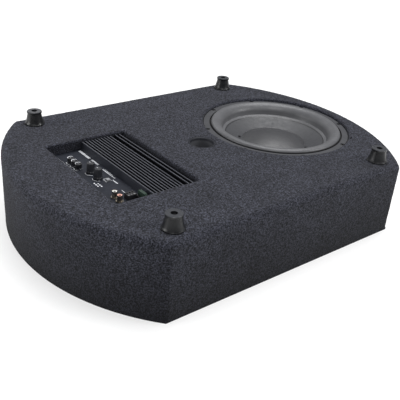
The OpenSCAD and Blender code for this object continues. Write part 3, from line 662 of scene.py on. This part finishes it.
def cover_flat(sheet, loops):
    """Fills the flat top between the loops, and its underside, with even triangles."""
    xs = np.arange(-HALF_LENGTH, HALF_LENGTH, STEP)
    ys = np.arange(-HALF_WIDTH, HALF_WIDTH, STEP * 0.866)    # rows of equal-sided triangles
    gx, gy = np.meshgrid(xs, ys)
    gx = gx + (np.arange(len(ys)) % 2)[:, None] * STEP / 2
    grid = np.stack([gx.ravel(), gy.ravel()], 1)
    grid += rng.uniform(-SHIFT, SHIFT, grid.shape) * STEP
    margin = STEP * 0.55
    grid = grid[inside_edge(grid, EDGE + margin) & outside_openings(grid, margin)]
    heights = TOP - PILE + rng.uniform(-1, 1, len(grid)) * PILE
    upper = sheet.ring(np.column_stack([grid, heights]))
    lower = sheet.ring(np.column_stack([grid, np.full(len(grid), BOARD_TOP)]))

    points = np.concatenate(sheet.points)
    above, edges = [], []
    for loop, _ in loops:
        first, count = len(above), len(loop)
        above.extend(loop.tolist())
        edges.extend([(first + i, first + (i + 1) % count) for i in range(count)])
    above.extend(upper.tolist())
    below = dict(zip(upper.tolist(), lower.tolist()))
    for loop, under in loops:
        below.update(zip(loop.tolist(), under.tolist()))

    flat = [Vector(p) for p in points[above, :2].tolist()]
    result = delaunay_2d_cdt(flat, edges, [], 0, TOUCHING)
    corners, triangles, origins = result[0], result[2], result[3]
    owner = [above[origin[0]] if origin else None for origin in origins]
    middle = np.array([tuple(v) for v in corners])[np.array(triangles)].mean(1)
    kept = inside_edge(middle, EDGE * 0.02) & outside_openings(middle, -SLACK)
    for triangle in np.array(triangles)[kept].tolist():
        a, b, c = (owner[i] for i in triangle)
        sheet.faces.append([a, b, c])
        sheet.faces.append([below[c], below[b], below[a]])


def carpet_cover():
    """Carpet over the driver's face and round the sides, with its three openings."""
    sheet = Sheet()
    loops = [cover_walls(sheet)]
    for opening in (
            (circle_outline(DRIVER, DRIVER_HOLE), ROUND, FLANGE_BOTTOM),
            (circle_outline(PORT, PORT_HOLE), PORT_ROUND, BOARD_TOP),
            (recess_outline(), LIP, BOARD_TOP)):
        loops.append(cover_opening(sheet, *opening))
    cover_flat(sheet, loops)
    obj = finish_mesh("carpet_cover", sheet.bmesh(), [paint["carpet"]], "enclosure", "carpet",
                      smooth_angle=60)
    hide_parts("cover_carpet")


def carpet_lining():
    """Lining of the amplifier's opening, from the board's face down to the gasket."""
    sheet = Sheet()
    inner = recess_outline()
    rings = []
    heights = np.linspace(LINING_LO.z, LINING_HI.z, 7)
    rings.append(sheet.ring(moved(inner, 0, heights[0])))
    for z in heights[1:-1]:
        rings.append(sheet.ring(moved(inner, 0.0003, z), PILE * level(inner)))
    rings.append(sheet.ring(moved(inner, 0, heights[-1])))
    for z in (LINING_HI.z, LINING_LO.z):
        rings.append(sheet.ring(moved(inner, LINING, z)))
    sheet.join(*rings, rings[0])
    obj = finish_mesh("carpet_lining", sheet.bmesh(), [paint["carpet"]], "enclosure",
                      "carpet", smooth_angle=60)
    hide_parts("recess_carpet")


carpet_cover()
carpet_lining()

# ---------------------------------------------------------------- driver, in millimetres

BEAD_R = 121.5                         # outer edge of the surround's flat bead
ROLL_OUT, ROLL_IN = 120.5, 98.5        # radii between which the half roll stands
ROLL_FOOT = 0.8                        # its outer foot, above the flange
ROLL_DROP, ROLL_RISE = 8.0, 10.0       # its fall towards the cone, and its height
SKIN = 1.4                             # its thickness
RIM_R = 96.5                           # radius of the cone's rim
LANDING = RIM_R - 4                    # inner edge of the surround's landing on the cone
SLOPE = 0.304                          # rise of the cone's face for each step outward


def cone_face(r):
    """Height above the flange of the cone's upper face at a radius."""
    return (CONE_TOP - FLANGE_TOP) / MM - SLOPE * (RIM_R - r)


def roll(angle, inset):
    """Point on the half roll, 0 degrees at the frame and 180 at the cone."""
    a = math.radians(angle)
    middle, half = (ROLL_OUT + ROLL_IN) / 2, (ROLL_OUT - ROLL_IN) / 2 - inset
    return (middle + half * math.cos(a),
            ROLL_FOOT - ROLL_DROP * (1 - math.cos(a)) / 2 + (ROLL_RISE - inset) * math.sin(a))


def radius_share(outer, inner):
    """Weight of the cone body for a piece that flexes between two radii."""
    def weight(points):
        r = np.hypot(points[:, 0] - DRIVER.x, points[:, 1] - DRIVER.y) / MM
        t = np.clip((outer - r) / (outer - inner), 0, 1)
        return t * t * (3 - 2 * t)
    return weight


def surround_roll():
    """Rubber roll from the frame to its landing on the cone, and the glue inside that."""
    rim, land = cone_face(RIM_R), cone_face(LANDING)
    skin = [(BEAD_R, 0.0), (BEAD_R, 0.7), (BEAD_R - 0.3, 1.0)]
    skin += [roll(a, 0) for a in np.linspace(4, 176, 30)]
    skin += [(RIM_R + 0.6, rim + 1.9), (RIM_R - 0.6, rim + 1.5), (LANDING + 0.5, land + 0.8),
             (LANDING, land + 0.5), (LANDING, land + 0.05)]
    skin += [(RIM_R + 0.4, cone_face(RIM_R + 0.4) + 0.05)]
    skin += [roll(a, SKIN) for a in np.linspace(176, 10, 24)]
    glue = [(LANDING + r, cone_face(LANDING + r) + h)
            for r, h in ((-1.8, 0.03), (-0.1, 0.03), (-0.1, 0.4), (-1.1, 0.3))]
    obj = revolve(
        "surround_roll", [(paint["surround_rubber"], mm(skin, FLANGE_TOP)),
                          (paint["black_plastic"], mm(glue, FLANGE_TOP))],
        DRIVER, "enclosure", "surround_rubber", 256, bend=radius_share(119.5, 99.5))
    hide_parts("surround")


def flexed(name, node, bend):
    """A CAD piece that flexes: the same solid, bending with the cone."""
    bm = bmesh.new()
    bm.from_mesh(nodes[node].data)
    slot = node_slots[node]
    obj = finish_mesh(name, bm, [paint[slot]], "enclosure", slot, bend=bend)
    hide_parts(node)


surround_roll()
flexed("spider_flex", "spider", radius_share(72, 28))
flexed("tinsel_flex", "tinsel_leads", radius_share(83, 67))

# ---------------------------------------------------------------- controls

KNOB_FLUTES = 24
TRIMMER_FLUTES = 20
SHAFT_HOLE = 3.05                      # radius of a knob's hole for its shaft
TRIMMER_SHANK = 3.0                    # radius of a trimmer below its head
INK = 0.00012                          # how far print stands proud, or lies below a rim


def scallop(angle, count, depth):
    """How deep a row of flutes is at an angle."""
    return depth * (0.5 + 0.5 * math.cos(count * angle)) ** 2


def knob_grip(name, node, body):
    """Knob turned from the CAD's box, with fluted sides and a pale pointer line."""
    lo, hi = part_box(node)
    at = centre(node)
    height = (hi.z - lo.z) / MM
    base_r = half_across(node) / MM
    top_r = base_r - 0.9
    profile = [(SHAFT_HOLE, 0.0), (base_r - 0.25, 0.0), (base_r, 0.25), (base_r, 2.1),
               (base_r - 0.25, 2.4), (base_r - 0.6, 2.5), (base_r - 0.75, 3.0),
               (top_r, height - 1.0), (top_r - 0.3, height - 0.35), (top_r - 0.9, height),
               (top_r - 1.8, height), (top_r - 2.1, height - 0.3), (0.0, height - 0.3),
               (0.0, height - 2.0), (SHAFT_HOLE, height - 2.0)]

    def flute(r, z, a):
        on_grip = 2.8 < (z - lo.z) / MM < height - 0.2 and r > (top_r - 0.5) * MM
        return r - scallop(a, KNOB_FLUTES, 0.35 * MM) if on_grip else r

    obj = revolve(name, [(paint["knob_black"], mm(profile, lo.z))], at, body, "knob_black",
                  KNOB_FLUTES * 6, flute, smooth_angle=30)
    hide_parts(node)
    pointer = rectangle(at.x - 0.0005, at.y + 0.0012, 0.001, (top_r - 2.2) * MM)
    line = plates([pointer], hi.z - 0.0003, hi.z - INK)
    finish_mesh(name + "_line", line, [PRINT_AND_HIGHLIGHT_WHITE], body, "knob_black")


def trimmer_head(name, node, body):
    """Small control: fluted black head with a painted highlight on its rim and a printed pointer."""
    lo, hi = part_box(node)
    at = centre(node)
    top = (hi.z - lo.z) / MM
    head = (PANEL_TOP - lo.z) / MM + 1.9
    edge = half_across(node) / MM
    dish = edge - 1.3
    shank = [(0, 0), (TRIMMER_SHANK - 0.4, 0), (TRIMMER_SHANK, 0.4), (TRIMMER_SHANK, head),
             (edge - 0.2, head), (edge, head + 0.2), (edge, top - 0.7), (dish, top - 0.7),
             (dish, top - 1.0), (0, top - 1.0)]
    rim = [(dish, top - 0.7), (edge, top - 0.7), (edge, top - 0.35), (edge - 0.35, top),
           (dish + 0.2, top), (dish, top - 0.2)]

    def flute(r, z, a):
        on_head = head + 0.1 < (z - lo.z) / MM < top - 0.6 and r > (edge - 0.1) * MM
        return r - scallop(a, TRIMMER_FLUTES, 0.2 * MM) if on_head else r

    obj = revolve(name, [(paint["knob_black"], mm(shank, lo.z)),
                         (paint["black_plastic"], mm(rim, lo.z))],
                  at, body, "knob_black", TRIMMER_FLUTES * 6, flute, smooth_angle=30)
    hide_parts(node)
    pointer = rectangle(at.x - 0.0003, at.y, 0.0006, (dish - 0.9) * MM)
    # painted highlight: the pale arc on the rim's far side stands for light caught by its edge; the pointer
    # is print
    marks = plates([scale_arc(at, dish + 0.05, 1.1, 20, 180), pointer],
                   hi.z - 0.0001, hi.z + INK / 2)
    finish_mesh(name + "_rim_highlight_and_pointer", marks, [PRINT_AND_HIGHLIGHT_WHITE], body, "knob_black")


for control in ("bass_boost", "phase"):
    knob_grip(f"{control}_grip", f"{control}_knob", f"{control}_control")
for control in ("gain", "low_pass", "subsonic"):
    trimmer_head(f"{control}_head", f"{control}_trimmer", f"{control}_control")

# ---------------------------------------------------------------- print on the panel

# columns of dashes along Y, in millimetres: middle in X, ends in Y, width, how many,
# share filled
DASHES = (
    (-181.3, 69, 103, 4.6, 1, 1.0),
    (-181, 41, 63, 3.4, 1, 1.0),
    (-183.5, -13, 24, 1.6, 1, 1.0),
    (-181, -3, 22, 0.8, 1, 1.0),
    (-189, -30, -16, 1.8, 1, 1.0),
    (-195, -71, -51, 1.0, 1, 1.0),
    (-225.5, 36, 92, 1.4, 11, 0.75),
    (-228, -72, -52, 1.4, 2, 0.9),
    (-219, -24, -8, 2.0, 3, 0.6),
    (-214.5, -27, -12, 2.0, 3, 0.6),
)
# arc beside each control: radius in millimetres, first and last angle in degrees
ARCS = {
    "gain_trimmer": (6.6, 130, 230),
    "low_pass_trimmer": (6.6, 130, 230),
    "subsonic_trimmer": (6.6, 130, 230),
    "bass_boost_knob": (8.3, 150, 260),
    "phase_knob": (8.3, 150, 260),
}


def dashes(x, y0, y1, width, count, fill):
    """One column of dashes."""
    pitch = (y1 - y0) / count
    return [rectangle((x - width / 2) * MM, (y0 + k * pitch) * MM, width * MM,
                      pitch * fill * MM) for k in range(count)]


def printed(name, marks, material):
    """Flat print on the panel's face."""
    bm = plates(marks, PANEL_TOP - 0.00002, PANEL_TOP + INK)
    finish_mesh(name, bm, [material], "enclosure", "panel_black")


def panel_print():
    """Plain dashes, bars and arcs in place of the panel's words."""
    marks = [mark for column in DASHES for mark in dashes(*column)]
    marks += [scale_arc(centre(node), radius, 0.9, start, end)
              for node, (radius, start, end) in ARCS.items()]
    printed("panel_print", marks, PRINT_AND_HIGHLIGHT_WHITE)


def switch_plate():
    """Pale bars round the slide switch."""
    at = centre("switch_slider")
    printed("switch_plate", [
        rectangle(at.x - 0.0052, at.y - 0.0030, 0.0022, 0.010),
        rectangle(at.x + 0.0032, at.y - 0.0030, 0.0022, 0.010),
        rectangle(at.x - 0.0030, at.y + 0.0066, 0.0062, 0.002)], PRINT_GREY)


panel_print()
switch_plate()

# ---------------------------------------------------------------- floor, light, camera

FLOOR_HALF = 40.0                      # half of the floor's width, in metres
FLOOR_GAP = 0.0003                     # between the floor and the object's back

scene = bpy.context.scene
scene.view_settings.view_transform = "Standard"


def pale_floor():
    """Wide pale floor that glows a little, so that it stays white."""
    corners = [(x * FLOOR_HALF, y * FLOOR_HALF, -FLOOR_GAP)
               for x, y in ((-1, -1), (1, -1), (1, 1), (-1, 1))]
    mesh = bpy.data.meshes.new("floor")
    mesh.from_pydata(corners, [], [(0, 1, 2, 3)])
    mesh.materials.append(plain(
        "floor_pale", (0.42, 0.42, 0.42), 0.85, spread=0.01, grain=40, depth=0,
        Emission_Color=(1, 1, 1, 1), Emission_Strength=0.52))
    floor = bpy.data.objects.new("floor", mesh)
    scene.collection.objects.link(floor)


def studio_air():
    """Soft light from all round."""
    scene.world = bpy.data.worlds.new("studio")
    scene.world.use_nodes = True
    background = scene.world.node_tree.nodes["Background"]
    background.inputs["Color"].default_value = (0.97, 0.98, 1.0, 1)
    background.inputs["Strength"].default_value = 0.20


def lamp(name, kind, energy, place, target):
    """Light at a place, turned to a target. Returns its data."""
    light = bpy.data.lights.new(name, kind)
    light.energy = energy
    obj = bpy.data.objects.new(name, light)
    scene.collection.objects.link(obj)
    obj.location = place
    obj.rotation_mode = "QUATERNION"
    obj.rotation_quaternion = (Vector(target) - Vector(place)).to_track_quat("-Z", "Y")
    return light


def sun(name, azimuth, elevation, strength, angle):
    """Light from a direction; angle is how wide the source looks, in degrees."""
    a, e = math.radians(azimuth), math.radians(elevation)
    place = (math.cos(a) * math.cos(e), math.sin(a) * math.cos(e), math.sin(e))
    lamp(name, "SUN", strength, place, (0, 0, 0)).angle = math.radians(angle)


def softbox(name, place, target, size, power):
    """Rectangular light in watts."""
    light = lamp(name, "AREA", power, place, target)
    light.shape = "RECTANGLE"
    light.size, light.size_y = size


pale_floor()
studio_air()
sun("overhead", 30, 72, 3.0, 40)
sun("front", 232, 54, 1.0, 14)
softbox("left", (-2.3, 1.0, 0.8), (-0.2, 0, 0.1), (1.2, 0.8), 26)
softbox("right", (1.5, -1.6, 1.4), (0.3, -0.1, 0.1), (1.0, 0.9), 28)
softbox("rear", (0.2, 2.6, 1.5), (0.1, 0, 0.1), (2.0, 0.8), 8)

# the photograph's view: place in metres, then angles in degrees
CAMERA_AT = (-0.6568, -0.7747, 0.5633)
CAMERA_AZ, CAMERA_EL, CAMERA_ROLL = -40.4445, 28.4379, 4.8735
CAMERA_LENS = 57.985                   # millimetres, on a 36 mm wide sensor


def photo_camera():
    """Camera at the photograph's viewing angle."""
    a, e, r = (math.radians(v) for v in (CAMERA_AZ, CAMERA_EL, CAMERA_ROLL))
    back = Vector((math.sin(a) * math.cos(e), -math.cos(a) * math.cos(e), math.sin(e)))
    right = Vector((0, 0, 1)).cross(back).normalized()
    upward = back.cross(right)
    x_axis = right * math.cos(r) + upward * math.sin(r)
    y_axis = -right * math.sin(r) + upward * math.cos(r)
    data = bpy.data.cameras.new("camera")
    data.sensor_width = 36
    data.lens = CAMERA_LENS
    data.clip_start, data.clip_end = 0.05, 30
    camera = bpy.data.objects.new("camera", data)
    scene.collection.objects.link(camera)
    turned = Matrix((x_axis, y_axis, back)).transposed().to_4x4()
    camera.matrix_world = Matrix.Translation(CAMERA_AT) @ turned
    scene.camera = camera


photo_camera()
